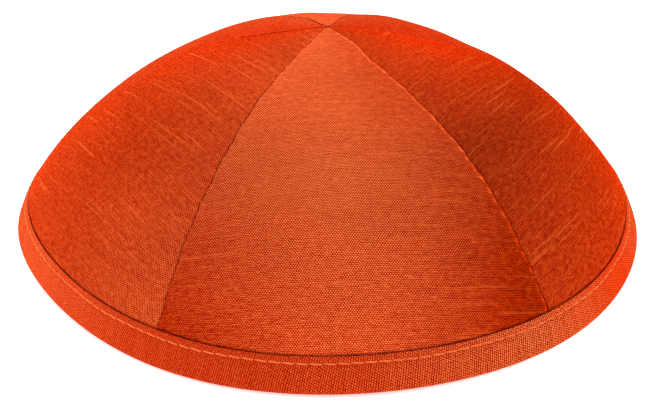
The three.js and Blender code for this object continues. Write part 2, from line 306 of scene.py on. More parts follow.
# How far apart the gores lie on the map of the cut cloth, and the turn of each grain in degrees
CUT_APART = 130 * MM
GORE_GRAINS = (3, 0, -4, -2, 0, 8)
# Painted light and shade of each gore's silk: how much lighter or darker its colour is painted, how
# pale its painted sheen is, how open its weave looks.
# Each row: at the foot, half way up, at the top, the changes towards its second seam and both seams.
# The rises are the shares of the way up where the first three hold.
LOOKS = ("tone", "shine", "open_weave")
LOOK_RISES = (0.08, 0.45, 0.7)
BOTH_SEAMS = 1.6
GORE_PAINTED_LIGHTING = [
    (0.93, 0.88, 0.92, 0, 0), (0.96, 0.97, 1.17, 0, 0), (0.97, 0.93, 0.97, 0, 0),
    (0.93, 0.81, 0.98, -0.04, 0.28), (1.3, 1.11, 1.19, -0.09, -0.98), (0.96, 0.61, 0.95, 0.12, 0.17),
]
GORE_PAINTED_SHEEN = [
    (0.3, 0.5, 0.5, 0, 0), (0.7, 0.9, 0.9, 0, 0), (0.4, 0.6, 0.6, 0, 0),
    (0.2, 0.15, 0.22, 0.1, 0.28), (0.66, 0.76, 0.6, -0.2, -1.1), (0.05, 0.1, 0.12, -0.07, 0),
]
GORE_WEAVES = [
    (0.8, 0.7, 0.3, 0.4, 0), (1.3, 1.1, 0.6, 0, 0), (0.8, 0.7, 0.3, -0.4, 0),
    (1.4, 1.7, 1.1, 0.9, 0), (1.0, 2.0, 1.8, 0.5, 0), (1.5, 1.8, 0.9, -0.9, 0),
]
# How much painted highlight each gore's turned edge gets beside its first and its second seam
SEAM_PAINTED_HIGHLIGHTS = [(0.1, 0.1), (0.1, 0.1), (0.1, 0.5), (0.1, 0.1), (0.0, 1.2), (0.0, 0.6)]
RIDGE_PLACE = 0.52 * MM
RIDGE_WIDTH = 0.26 * MM
# How much painted shade they get near the top, where six layers of cloth sink in
SEAM_PAINTED_SHADES = [(0.0, 0.2), (0.2, 0.6), (0.6, 0.4), (0.8, -0.25), (-0.3, -0.15), (-0.15, 0.0)]
PIT_WIDTH = 0.36 * MM
PIT_RISE = (58 * MM, 84 * MM)
# The painted shade along a seam: how dark it is all along, how much darker in dashes, and its width
LINE_DARK = 0.25
LINE_DASHED = 0.15
LINE_WIDTH = 0.15 * MM
# Painted shade in the valley over the binding: how dark, how much that varies, where and how wide
VALLEY_PAINTED_SHADE = 0.34
VALLEY_VARIES = 0.2
VALLEY_PLACE = 7.7 * MM
VALLEY_WIDTH = 0.35 * MM


def seam_azimuth(number, along, waver):
    """The seam's even place and its shift, plus two sines up the wall that fade out at the top."""
    radius = wall_radius(along)
    seam = number % PANELS
    shift = np.interp(along / MM, SEAM_HEIGHTS, SEAM_SHIFTS[seam])
    wave = sum(aside * np.sin(TURN * along / (pitch * MM) + start * seam)
               for aside, pitch, start in SEAM_WAVES)
    free = ease(radius, *SEAMS_STRAIGHT)
    return number * PANEL_ANGLE + free * MM * (shift + waver * wave) / radius


def panel_dip(across, along):
    """How far a gore dips under the dome: one minus across squared, by a squared sine up the wall."""
    rise = np.clip((along - FLATNESS_STARTS) / (WALL_LENGTH - FLATNESS_STARTS), 0, 1)
    return PANEL_FLATNESS * (1 - across ** 2) * np.sin(math.pi * rise) ** 2


def fullness(along):
    """How far the crown stands out: a squared sine up the wall, fuller above, and its top lifted."""
    rise = np.clip(along / WALL_LENGTH, 0, 1)
    hump = np.sin(math.pi * rise) ** 2
    return (hump * (FULL_MIDDLE + FULL_LOWER * np.cos(math.pi * rise))
            + FULL_TOP * np.clip(2 * rise - 1, 0, 1) ** 2)


def foot_belly(along):
    """The swell above the binding: a smooth rise from the binding's edge and a long smooth fall."""
    return (FOOT_BELLY * ease(along, BELLY_STARTS, BELLY_FULL)
            * (1 - ease(along, BELLY_FULL, BELLY_ENDS)))


def sway(azimuth, along):
    """How deep the cloth's slow hollows are: three sines round the cap and up its wall."""
    hollows = sum(share * np.sin(times * azimuth + along / (rise * MM) + start)
                  for times, rise, start, share in SWAYS)
    return SWAY_DEPTH * held_at_ends(along, *SWAY_ENDS) * hollows


def edge_roll(distance, radius):
    """A quarter circle: how deep the cloth turns in at a distance from its edge."""
    inside = np.clip(radius - distance, 0, None)
    return radius - np.sqrt(np.maximum(radius ** 2 - inside ** 2, 0))


def gore_places(number, starts, grid, waver):
    """Azimuth, distance up the wall, share across and distance to the edge, closest at seams."""
    rows, columns = grid
    along, across = np.meshgrid(np.linspace(starts, WALL_LENGTH - TIP_RADIUS, rows),
                                -np.cos(np.linspace(0, math.pi, columns)), indexing="ij")
    low = seam_azimuth(number, along, waver)
    high = seam_azimuth(number + 1, along, waver)
    radius = wall_radius(along)
    half = (high - low) / 2 + np.arcsin(SEAM_LAP / radius)
    azimuth = (low + high) / 2 + across * half
    to_edge = (1 - np.abs(across)) * half * radius
    return azimuth, along, across, to_edge


def cut_map(azimuth, along, number, grain=0.0):
    """The cloth as cut: distances from the gore's middle line and along it, turned to the grain."""
    from_top = RIM_ANGLE - along / DOME_RADIUS
    turned = azimuth - (number + 0.5) * PANEL_ANGLE
    aside = DOME_RADIUS * np.arcsin(np.sin(from_top) * np.sin(turned))
    down = DOME_RADIUS * np.arctan2(np.sin(from_top) * np.cos(turned), np.cos(from_top))
    cos, sin = math.cos(math.radians(grain)), math.sin(math.radians(grain))
    shift = CUT_APART * number
    return np.stack([aside * cos + down * sin + shift, down * cos - aside * sin + 2 * shift], -1)


def painted_valley_shade(azimuth, along):
    """Painted shade in the narrow valley over the binding: one less a bell up the wall."""
    dark = VALLEY_PAINTED_SHADE + VALLEY_VARIES * np.sin(61 * azimuth + 2 * np.sin(17 * azimuth))
    return 1 - dark * bell(along - VALLEY_PLACE, VALLEY_WIDTH)


def across_gore(look, along, across):
    """A number run through its foot, middle and top values, then changed towards the seams."""
    foot, middle, top, aside, edges = look
    rise = along / WALL_LENGTH
    outwards = BOTH_SEAMS * across ** 2 / (1 + across ** 2)
    return (np.interp(rise, LOOK_RISES, (foot, middle, top)) + aside * across
            + edges * outwards * (1 - rise) ** 2)


def painted_seam_light_and_shade(to_edge, along, ridge, pit, phase):
    """Beside a seam: painted shade by bells right at it, painted highlight by dashes of a bell a
    little away.
    """
    dashes = 0.6 - 0.4 * np.cos(TURN * phase)
    return (1 + ridge * dashes * bell(to_edge - RIDGE_PLACE, RIDGE_WIDTH)
            - (LINE_DARK + LINE_DASHED * dashes) * bell(to_edge, LINE_WIDTH)
            - pit * ease(along, *PIT_RISE) * bell(to_edge, PIT_WIDTH))


def make_crown_gore(number, finish):
    """A wall over the dome that dips between its seams, turns in at them, and is puckered there."""
    azimuth, along, across, to_edge = gore_places(number, CROWN_STARTS, CROWN_GRID, 1.0)
    seam = np.where(across < 0, number, number + 1) % PANELS
    phase = along / PUCKER_PITCH + 0.31 * seam + 0.22 * np.sin(along / PITCH_VARIES + seam)
    tight = 0.6 + 0.4 * np.sin(along / DEPTH_VARIES + 2.3 * seam + number)
    pull = 0.5 - 0.5 * np.cos(TURN * phase)
    pucker = (PUCKER_DEPTH * tight * pull * held_at_ends(along, *PUCKER_ENDS)
              * np.exp(-to_edge / PUCKER_REACH))
    roll = SEAM_ROLL * (1 + ROLL_ROUNDER * ease(along, *ROLL_RISE))
    depth = (panel_dip(across, along) - fullness(along) - foot_belly(along)
             + sway(azimuth, along) + pucker + edge_roll(to_edge, roll))
    upper = on_wall(azimuth, along, depth)
    under = on_wall(azimuth, along, depth + CROWN_CLOTH)
    uv = cut_map(azimuth, along, number, GORE_GRAINS[number])
    # Painted highlights and painted shade beside the seams, and painted shade in the valley over the
    # binding
    ridge = np.where(across < 0, *SEAM_PAINTED_HIGHLIGHTS[number])
    pit = np.where(across < 0, *SEAM_PAINTED_SHADES[number])
    shade = painted_valley_shade(azimuth, along) * painted_seam_light_and_shade(to_edge, along, ridge, pit, phase)
    # Each gore's painted light and shade, painted sheen and open weave, across it and up its wall
    tone, shine, open_weave = (across_gore(rows[number], along, across)
                               for rows in (GORE_PAINTED_LIGHTING, GORE_PAINTED_SHEEN, GORE_WEAVES))
    piece = add_closed_sheet(f"crown_gore_{number + 1}", upper, under, uv, finish,
                             dict(zip(LOOKS, (tone * shade, shine, open_weave))))
    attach(piece, "cap")
    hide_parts(f"crown_panel_{number + 1}")


# Gores of the lining

LINING_GRID = (110, 57)
LINING_CLOTH = 0.4 * MM
LINING_WAVER = 0.4
LINING_ROLL = 0.3 * MM
LINING_RIDGE = 0.25 * MM
LINING_RIDGE_WIDTH = 0.9 * MM
# Folds of the lining: azimuth in degrees, then millimetres up the wall and across
LINING_FOLDS = [
    (350, 28, 90, 2.0, 4.5), (12, 24, 60, 1.0, 8), (40, 34, 84, 1.6, 5.5), (134, 30, 74, 1.2, 7),
    (156, 22, 60, 1.1, 6), (168, 32, 92, 2.2, 4.2), (198, 22, 64, 0.9, 8), (228, 30, 70, 0.7, 6),
    (268, 26, 62, 0.6, 10), (312, 24, 66, 0.8, 7),
]
# How far their lines sway round the cap, in radians, and how far up the wall by a radian
FOLD_SWAY = 0.09
FOLD_SWAY_RISE = 13 * MM
CREASES = 23
CREASE_DEPTH = 0.32 * MM
CREASE_LEAN = 13 * MM
CREASE_SWAY_RISE = 8 * MM
CREASE_ENDS = ((14 * MM, 30 * MM), (3 * MM, 22 * MM))


def fold_lift(azimuth, along):
    """Each fold is a bell across it and half a sine up the wall, its line swaying by a sine."""
    lift = np.zeros_like(along)
    for turned, low, high, height, width in LINING_FOLDS:
        off = azimuth - math.radians(turned) - FOLD_SWAY * np.sin(along / FOLD_SWAY_RISE + turned)
        aside = wall_radius(along) * np.arctan2(np.sin(off), np.cos(off))
        rise = np.clip((along / MM - low) / (high - low), 0, 1)
        lift += height * MM * np.sin(math.pi * rise) * bell(aside, width * MM)
    return lift


def make_lining_gore(number, finish):
    """The crown's shape a little deeper, with soft folds and small creases that run upwards."""
    azimuth, along, across, to_edge = gore_places(number, LINING_STARTS, LINING_GRID, LINING_WAVER)
    swaying = 1.2 * np.sin(along / CREASE_SWAY_RISE)
    crease = 0.5 + 0.5 * np.sin(CREASES * azimuth + along / CREASE_LEAN + swaying)
    creases = CREASE_DEPTH * crease ** 3 * held_at_ends(along, *CREASE_ENDS)
    depth = (LINING_DEPTH + panel_dip(across, along) - fullness(along)
             + np.maximum(sway(azimuth, along), 0) + fold_lift(azimuth, along) + creases)
    ridge = LINING_RIDGE * bell(to_edge, LINING_RIDGE_WIDTH)
    upper = on_wall(azimuth, along, depth)
    under = on_wall(azimuth, along, depth + LINING_CLOTH + ridge - edge_roll(to_edge, LINING_ROLL))
    uv = cut_map(azimuth, along, number)
    piece = add_closed_sheet(f"lining_gore_{number + 1}", upper, under, uv, finish)
    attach(piece, "cap")
    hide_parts(f"lining_panel_{number + 1}")


# Folded binding and the threads that sew it

STITCHES = 190
STITCH_ALONG = 6.3 * MM
COLUMNS_A_STITCH = 5
STEPS_A_KNOT = 2
STITCH_SWELL = 0.07 * MM
SLOW_SWELL = 0.05 * MM
JOIN_AZIMUTH = 52 * TURN / STITCHES
# Round the rim in degrees, and there the strip's painted light and shade, how pale its painted sheen
# is and how open its weave
BINDING_LOOKS = [
    (20, 0.93, 1.0, 0.4), (90, 1.03, 0.7, 0.8), (180, 0.94, 1.0, 0.35), (212, 1.06, 0.94, 0.5),
    (240, 0.91, 0.42, 0.65), (270, 1.02, 0.44, 1.15), (297, 1.08, 0.85, 2.1), (319, 1.21, 0.2, 0.8),
    (338, 0.97, 0.95, 0.55),
]
# Knots of the folded strip, from its upper edge round the rim to its inner edge and back unseen:
# millimetres up the wall and under its face, or from the axis and up, and swell between stitches
STRIP_OUTSIDE = [
    (7.3, -0.4, 0), (7.52, -0.56, 0.2), (7.6, -0.74, 0.4), (7.48, -0.93, 0.7), (7.05, -1.04, 1),
    (6.65, -0.95, 0.2), (6.3, -0.72, -1), (5.95, -0.84, 0.1), (5.3, -0.9, 0.7), (4.0, -0.77, 0.4),
    (2.4, -0.52, 0.2),
]
STRIP_FOOT = [
    (81.2, 0.85, 0.1), (80.9, 0.27, 0), (80.4, 0.02, 0), (79.8, 0, 0), (79.2, 0.25, 0),
    (78.75, 0.85, 0),
]
STRIP_INSIDE = [
    (2.9, 2.34, 0), (5.1, 2.36, 0.2), (6.3, 2.1, -0.8), (7.2, 2.5, 0.3), (8.0, 3.2, 0.4),
    (8.8, 3.55, 0.3), (10.6, 3.62, 0.2), (12.4, 3.58, 0.3), (12.95, 3.35, 0.3), (13.0, 3.0, 0.2),
    (12.85, 2.7, 0),
]
STRIP_HIDDEN = [
    (12.0, 2.62, 0), (9.2, 2.62, 0), (8.3, 2.4, 0), (7.2, 1.4, 0), (4.5, 1.3, 0), (2.2, 1.3, 0),
    (1.7, 0.9, 0), (1.5, 0.3, 0), (1.9, -0.12, 0), (4.0, -0.15, 0), (6.6, -0.17, 0),
]
# Places along one stitch, closest together where the thread dives into its hole
STITCH_PHASES = np.array([0, 0.05, 0.1, 0.17, 0.32, 0.5, 0.68, 0.83, 0.9, 0.95])
# Each thread's name, the depth of its cloth, 1 outside or -1 inside, and its radius
RIM_THREADS = [("topstitch", -0.72 * MM, 1, 0.2 * MM), ("bobbin_stitch", 2.1 * MM, -1, 0.14 * MM)]
THREAD_SIDES = 6
# How far a stitch runs beside its line, and how far it slants
STITCH_ASIDE = 0.07 * MM
STITCH_SLANT = 0.05 * MM
# The share of its radius that it stands out by, its rise in the middle, and its dive at the ends
THREAD_LIFT = 0.45
THREAD_HOP = 0.05 * MM
THREAD_DIVE = 0.62 * MM
DIVE_SHARE = 0.075
DIVE_THINNER = 0.25


def section_place(along, depth):
    """The wall's section: distance from the axis and height."""
    from_top = RIM_ANGLE - along / DOME_RADIUS
    reach = DOME_RADIUS - depth
    return reach * math.sin(from_top), DOME_CENTRE + reach * math.cos(from_top)


def binding_section():
    """The strip's knots as places in the section, and their swell: the seen ones, the hidden ones."""
    outside, inside, hidden = ([(*section_place(along * MM, depth * MM), swell)
                                for along, depth, swell in knots]
                               for knots in (STRIP_OUTSIDE, STRIP_INSIDE, STRIP_HIDDEN))
    foot = [(out * MM, up * MM, swell) for out, up, swell in STRIP_FOOT]
    return np.array(outside + foot + inside), np.array(hidden)


def smooth_through(knots, steps):
    """Catmull-Rom curve through the knots: steps points for each stretch between two of them."""
    padded = np.concatenate([knots[:1], knots, knots[-1:]])
    t = (np.arange(steps) / steps)[None, :, None]
    a, b, c, d = (padded[i:len(padded) - 3 + i, None, :] for i in range(4))
    curve = 0.5 * (2 * b + (c - a) * t + (2 * a - 5 * b + 4 * c - d) * t ** 2
                   + (3 * b - a - 3 * c + d) * t ** 3)
    return np.concatenate([curve.reshape(-1, knots.shape[1]), knots[-1:]])


def make_binding(finish):
    """The section carried round the rim, pulled in at each stitch's ends and swelling between."""
    exposed, hidden = binding_section()
    section = np.concatenate([smooth_through(exposed, STEPS_A_KNOT), hidden])
    step = np.roll(section, -1, 0)[:, :2] - np.roll(section, 1, 0)[:, :2]
    step = step / np.linalg.norm(step, axis=1, keepdims=True)
    columns = STITCHES * COLUMNS_A_STITCH
    azimuth = np.arange(columns) * TURN / columns + JOIN_AZIMUTH
    uneven = 0.75 + 0.25 * np.sin(37 * azimuth + 1.0) + 0.2 * np.sin(11 * azimuth)
    between = -STITCH_SWELL * np.cos(STITCHES * azimuth) * uneven
    slow = SLOW_SWELL * (np.sin(13 * azimuth) + np.sin(29 * azimuth + 2))
    reach, height, swell = section.T[:, :, None]
    step_out, step_up = step.T[:, :, None]
    sink = swell * between + np.clip(swell, 0, 1) * slow
    radius = reach + step_up * sink + out_of_round(azimuth, STITCH_ALONG)
    height = np.maximum(height - step_out * sink, 0)
    points = np.stack([radius * np.cos(azimuth), radius * np.sin(azimuth), height], -1)
    length = distances(np.concatenate([section, section[:1]])[:, :2])
    round_rim = np.linspace(0, TURN, columns + 1) * CROWN_FOOT_RADIUS
    # The strip's painted light and shade, painted sheen and open weave round the rim
    places, *looks = zip(*BINDING_LOOKS)
    looks = {key: np.tile(np.interp(np.degrees(azimuth), places, look, period=360), len(section))
             for key, look in zip(LOOKS, looks)}
    uv = grid_map(length, round_rim)[..., ::-1]
    piece = add_tube_grid("rim_strip", points, uv, True, finish, looks)
    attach(piece, "cap")
    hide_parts("rim_binding")


def make_rim_thread(name, cloth_depth, outward, radius, finish):
    """One closed thread round the rim that lies on the cloth and dives at each stitch's end."""
    phase = np.tile(STITCH_PHASES, STITCHES)
    number = np.repeat(np.arange(STITCHES), len(STITCH_PHASES))
    azimuth = (number + phase) * TURN / STITCHES
    dive = bell(np.minimum(phase, 1 - phase), DIVE_SHARE)
    hop = THREAD_HOP * np.sin(math.pi * phase) ** 2
    depth = cloth_depth - outward * (THREAD_LIFT * radius + hop - THREAD_DIVE * dive)
    along = STITCH_ALONG + STITCH_ASIDE * np.sin(7 * number) + STITCH_SLANT * np.sin(TURN * phase)
    path = on_wall(azimuth, along, depth)
    thickness = radius * (1 - DIVE_THINNER * dive)
    outwards = path - np.array([0, 0, DOME_CENTRE])
    rings = rings_along(path, thickness, THREAD_SIDES, outwards, True)
    girth = np.linspace(0, TURN * thickness.mean(), THREAD_SIDES + 1)
    uv = grid_map(distances(np.concatenate([path, path[:1]])), girth)
    piece = add_tube_grid(name, rings, uv, True, finish)
    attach(piece, "cap")


# The disc under the gores' points, and the clip's tab

# Points round the disc's section and round the axis, then where that section lies and its size
PATCH_GRID = (12, 48)
PATCH_DEPTH = 1.19 * MM
PATCH_MIDDLE = 1.7 * MM
PATCH_HALF_WIDTH = 1.5 * MM
PATCH_HALF_THICK = 0.05 * MM
TAB_GRID = (61, 61)
TAB_CLOTH = 0.95 * MM
TAB_ROLL = 0.4 * MM
# The tab's line of stitches: how deep it is sunk, how far inside the edge, and how wide
TAB_SEWN = 0.16 * MM
TAB_SEWN_INSIDE = 1.3 * MM
TAB_SEWN_WIDTH = 0.28 * MM


def make_top_patch(finish):
    """A small disc under the meeting of the six points: a flat ellipse turned round the axis."""
    rows, columns = PATCH_GRID
    angle = np.linspace(0, TURN, rows, endpoint=False)[:, None]
    azimuth = np.linspace(0, TURN, columns, endpoint=False)
    along = WALL_LENGTH - (PATCH_MIDDLE + PATCH_HALF_WIDTH * np.cos(angle))
    depth = PATCH_DEPTH + PATCH_HALF_THICK * np.sin(angle) - fullness(along)
    radius = PATCH_MIDDLE + PATCH_HALF_WIDTH
    uv = grid_map(np.linspace(0, radius, rows + 1), np.linspace(0, radius, columns + 1))
    piece = add_tube_grid("top_patch", on_wall(azimuth, along, depth), uv, True, finish)
    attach(piece, "cap")


def make_tab(finish):
    """A rounded rectangle laid on the wall, its edges turned down and a line of stitches sunk in."""
    rows, columns = TAB_GRID
    across, up = np.meshgrid(-np.cos(np.linspace(0, math.pi, columns)),
                             -np.cos(np.linspace(0, math.pi, rows)))
    half = TAB_WIDTH / 2 * (1 - TAB_ROUNDING * np.maximum(0, -up) ** 4)
    aside = -across * half
    along = TAB_STARTS + (0.5 + up / 2) * TAB_LENGTH
    edge = np.minimum((1 - np.abs(across)) * half, (1 - np.abs(up)) * TAB_LENGTH / 2)
    sewn = TAB_SEWN * bell(edge - TAB_SEWN_INSIDE, TAB_SEWN_WIDTH)
    depth = TAB_DEPTH + TAB_CLOTH - edge_roll(edge, TAB_ROLL) - sewn
    azimuth = math.pi / 2 + np.arcsin(aside / wall_radius(along))
    upper = on_wall(azimuth, along, depth)
    under = on_wall(azimuth, along, TAB_DEPTH)
    piece = add_closed_sheet("tab_cloth", upper, under, np.stack([aside, along], -1), finish)
    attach(piece, "cap")
    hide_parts("clip_tab")


# The clip

# The pieces of pressed steel: node, name, body, and width of their rounded edges
STEEL_PIECES = [
    ("clip_base", "base_steel", "cap", 0.12 * MM),
    ("clip_lever", "lever_steel", "lever", 0.12 * MM),
    ("clip_pin", "pin_steel", "cap", 0.08 * MM),
]
MERGE_DISTANCE = 0.02 * MM
FLAT_WITHIN = math.radians(0.6)
ROUNDED_FROM = math.radians(32)
ROUNDING_STEPS = 2
WIRE_SIDES = 8
SPRING_WIRE = 0.19 * MM
SPRING_TURNS = 7
POINTS_A_TURN = 20
COIL_RADIUS = 1.02 * MM
COIL_WIDTH = 2.76 * MM
# The spring's leg: its points, where it leaves the coil, its length, place aside and over the steel
LEG_POINTS = 14
LEG_STARTS = 0.04
LEG_LENGTH = 6.0 * MM
LEG_ASIDE = 0.25 * MM
LEG_ABOVE = 0.22 * MM
LEG_SAG = 0.1 * MM
# A direction that neither the coil nor the leg ever runs along
SPRING_BESIDE = (1.0, 0.13, 0.07)
# The loops that hold the clip: their number, thread, map, half width, height and depth in the tab
CLIP_THREADS = 5
LOOP_POINTS = 25
LOOP_THREAD = 0.14 * MM
LOOP_GIRTH = 0.8 * MM
LOOP_HALF = 3.0 * MM
LOOP_HEIGHT = 1.45 * MM
LOOP_SUNK = 0.45 * MM
# Where the first one lies along the pad, the way from each to the next, its unevenness and slant
LOOP_FIRST = 2.7 * MM
LOOP_PITCH = 0.46 * MM
LOOP_UNEVEN = 0.18 * MM
LOOP_SLANT = 0.12 * MM


def in_clip(points):
    """Points turned from the clip's axes, y from hinge to tip, z away from the cloth, to the cap's."""
    place = Matrix.Translation((0, *section_place(HINGE_ABOVE_RIM, CLIP_DEPTH)))
    matrix = np.array(place @ Matrix.Rotation(math.pi - JAW_ANGLE, 4, "X"))
    return points @ matrix[:3, :3].T + matrix[:3, 3]


def add_wire(name, path, radius, beside, length, girth, finish):
    """A tube in the clip's own axes, capped at both ends, with the two sizes of its map."""
    rings = in_clip(rings_along(path, radius, WIRE_SIDES, beside))
    uv = grid_map(length, np.linspace(0, girth, WIRE_SIDES + 1))
    return add_tube_grid(name, rings, uv, False, finish)


def bevelled_steel(node, name, body, width, finish):
    """A copy of the solid, merged to clean faces, with narrow rounded edges as pressed steel has."""
    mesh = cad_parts[node].data.copy()
    mesh.name = name
    mesh.materials.clear()
    work = bmesh.new()
    work.from_mesh(mesh)
    bmesh.ops.remove_doubles(work, verts=work.verts, dist=MERGE_DISTANCE)
    bmesh.ops.dissolve_limit(work, angle_limit=FLAT_WITHIN, verts=work.verts, edges=work.edges)
    for face in work.faces:
        face.smooth = True
    work.to_mesh(mesh)
    work.free()
    piece = put_in_scene(name, mesh)
    bevel = piece.modifiers.new("edges", "BEVEL")
    bevel.width = width
    bevel.segments = ROUNDING_STEPS
    bevel.limit_method = "ANGLE"
    bevel.angle_limit = ROUNDED_FROM
    bevel.harden_normals = True
    mesh.materials.append(finish)
    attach(piece, body)
    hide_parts(node)


def make_spring(finish):
    """A wire wound in a helix round the pin, whose end runs out along the lower pad."""
    angle = np.linspace(0, SPRING_TURNS * TURN, SPRING_TURNS * POINTS_A_TURN + 1)
    coil = np.stack([COIL_WIDTH * (angle / angle[-1] - 0.5), COIL_RADIUS * np.sin(angle),
                     PIN_HEIGHT - COIL_RADIUS * np.cos(angle)], -1)
    run = np.linspace(LEG_STARTS, 1, LEG_POINTS)[:, None]
    end = np.array([LEG_ASIDE, -LEG_LENGTH * math.cos(PAD_BEND),
                    STEEL + LEG_ABOVE + LEG_LENGTH * math.sin(PAD_BEND)])
    sag = np.sin(math.pi * run) * np.array([0.0, 0.0, -LEG_SAG])
    path = np.concatenate([coil, coil[-1] + run * (end - coil[-1]) + sag])
    piece = add_wire("spring_coil", path, SPRING_WIRE, SPRING_BESIDE, distances(path),
                     TURN * SPRING_WIRE, finish)
    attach(piece, "cap")
    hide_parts("clip_spring")


def make_clip_threads(finish):
    """Loops over the lower pad: each an arch from the tab, over the steel, to the tab."""
    t = np.linspace(-1, 1, LOOP_POINTS)
    aside = LOOP_HALF * np.sign(t) * np.abs(t) ** 0.8
    lift = LOOP_HEIGHT * (1 - np.abs(t) ** 5) - LOOP_SUNK
    for number in range(CLIP_THREADS):
        place = LOOP_FIRST + LOOP_PITCH * number + LOOP_UNEVEN * math.sin(3 * number)
        back = LOOP_SLANT * t - place
        path = np.stack([aside, back * math.cos(PAD_BEND), lift - back * math.sin(PAD_BEND)], -1)
        piece = add_wire(f"clip_thread_{number + 1}", path, LOOP_THREAD, (0.0, 1.0, 0.0),
                         LOOP_HALF * t, LOOP_GIRTH, finish)
        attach(piece, "cap")


# Finishes

class Signal:
    """One output of a material's nodes. Its operators add Math nodes."""

    def __init__(self, finish, socket):
        self.finish = finish
        self.socket = socket

    def math(self, operation, first, second):
        return self.finish.node("ShaderNodeMath", {"operation": operation}, {0: first, 1: second})

    def __add__(self, other):
        return self.math("ADD", self, other)

    def __sub__(self, other):
        return self.math("SUBTRACT", self, other)

    def __rsub__(self, other):
        return self.math("SUBTRACT", other, self)

    def __mul__(self, other):
        return self.math("MULTIPLY", self, other)

    __radd__ = __add__
    __rmul__ = __mul__


class Finish:
    """A procedural material while it is put together."""

    def __init__(self, name):
        self.material = bpy.data.materials.new(name)
        self.material.use_nodes = True
        self.tree = self.material.node_tree
        self.tree.nodes.clear()

    def node(self, kind, settings=None, sockets=None, output=0):
        """Adds a node: its settings, then the value or link of each socket named. Gives an output."""
        made = self.tree.nodes.new(kind)
        for key, value in (settings or {}).items():
            if key == "stops":
                ramp = made.color_ramp.elements
                while len(ramp) < len(value):
                    ramp.new(0.5)
                for element, (place, colour) in zip(ramp, value):
                    element.position = place
                    element.color = colour
            else:
                setattr(made, key, value)
        for key, value in (sockets or {}).items():
            if isinstance(value, Signal):
                self.tree.links.new(value.socket, made.inputs[key])
            else:
                made.inputs[key].default_value = value
        return Signal(self, made.outputs[output]) if made.outputs else None

    def parts(self, vector):
        """The three numbers of a vector."""
        split = self.node("ShaderNodeSeparateXYZ", {}, {0: vector}).socket.node
        return [Signal(self, socket) for socket in split.outputs]

    def cloth(self):
        """The two distances on the cloth's map, in millimetres."""
        u, v, _ = self.parts(self.node("ShaderNodeUVMap", {"uv_map": CLOTH_MAP}))
        return u * (1 / MM), v * (1 / MM)

    def looks(self):
        """The painted light and shade, the painted sheen and how open the weave is at each point, from
        the piece's numbers.
        """
        return [self.node("ShaderNodeAttribute", {"attribute_name": key}, {}, "Fac")
                for key in LOOKS]

    def vector(self, x, y, z=0.0):
        """A vector from three numbers."""
        return self.node("ShaderNodeCombineXYZ", {}, {0: x, 1: y, 2: z})

    def noise(self, place, scale=1.0, detail=2.0, roughness=0.5):
        """Smooth noise from 0 to 1 at a place."""
        return self.node("ShaderNodeTexNoise", {}, {
            "Vector": place, "Scale": scale, "Detail": detail, "Roughness": roughness})

    def uneven(self, u, v, kind, roughness=0.5):
        """Noise about 0 on the cloth: its changes a millimetre along u and v, and its detail."""
        along, across, detail = kind
        return self.noise(self.vector(u * along, v * across), 1.0, detail, roughness) - 0.5

    def span(self, value, low, high, to_low=0.0, to_high=1.0):
        """A value brought from one range to another, held at both ends."""
        return self.node("ShaderNodeMapRange", {"clamp": True}, {
            "Value": value, "From Min": low, "From Max": high, "To Min": to_low, "To Max": to_high})

    def blend(self, share, first, second):
        """Two colours mixed by a share. A Mix node has them in 6 and 7, and their mixture in 2."""
        return self.node("ShaderNodeMix", {"data_type": "RGBA"}, {0: share, 6: first, 7: second}, 2)

    def ramp(self, share, stops):
        """The colour at a share of the way through a row of stops."""
        return self.node("ShaderNodeValToRGB", {"stops": stops}, {0: share})

    def shade(self, colour, strength):
        """A colour made lighter or darker by a number."""
        return self.node("ShaderNodeVectorMath", {"operation": "SCALE"}, {0: colour, 3: strength})

    def bump(self, height, distance):
        """The normal of a fine relief: its height from 0 to 1, and how far that is."""
        return self.node("ShaderNodeBump", {}, {"Distance": distance, "Height": height})

    def sine(self, value):
        """The sine of a value."""
        return self.node("ShaderNodeMath", {"operation": "SINE"}, {0: value})

    def size(self, value):
        """A value without its sign."""
        return self.node("ShaderNodeMath", {"operation": "ABSOLUTE"}, {0: value})

    def root(self, value):
        """The square root of a value."""
        return self.node("ShaderNodeMath", {"operation": "SQRT"}, {0: value})

    def surface(self, **sockets):
        """Ends the material in a Principled shader with these sockets."""
        named = {key.replace("_", " "): value for key, value in sockets.items()}
        shader = self.node("ShaderNodeBsdfPrincipled", {}, named)
        self.node("ShaderNodeOutputMaterial", {}, {"Surface": shader})
        return self.material


def rgb(red, green, blue):
    """An opaque colour."""
    return (red, green, blue, 1.0)


# Colours of the silk, then the dark and the light one of each other finish
SILK_DARK = rgb(0.29, 0.003, 0.0002)
SILK_MIDDLE = rgb(0.6, 0.021, 0.001)
SILK_DEEP = rgb(0.87, 0.07, 0.003)
SILK_PAINTED_SHEEN = rgb(0.87, 0.285, 0.085)
SILK_SLUB = rgb(0.95, 0.16, 0.03)
PAINTED_SHEEN_STOPS = [(0.0, SILK_DARK), (0.5, SILK_MIDDLE), (1.0, SILK_PAINTED_SHEEN)]
DEEP_STOPS = [(0.0, SILK_DARK), (0.5, SILK_MIDDLE), (1.0, SILK_DEEP)]
ORANGE_THREAD = (rgb(0.9, 0.12, 0.02), rgb(1.0, 0.21, 0.06))
WHITE_THREAD = (rgb(0.6, 0.6, 0.6), rgb(0.85, 0.85, 0.85))
SATIN = (rgb(0.72, 0.74, 0.75), rgb(0.85, 0.87, 0.875))
TAPE = (rgb(0.66, 0.66, 0.66), rgb(0.88, 0.88, 0.88))
NICKEL = (rgb(0.47, 0.49, 0.52), rgb(0.70, 0.71, 0.73))
TABLE = (rgb(0.96, 0.96, 0.96), rgb(0.98, 0.98, 0.98))
# The silk's sheen is painted into its pale stops, and its fine threads have no gloss of their own
SILK_GLOSS = 0.0
WHITE_THREAD_GLOSS = 0.5
SATIN_GLOSS = 0.6
TAPE_GLOSS = 0.3

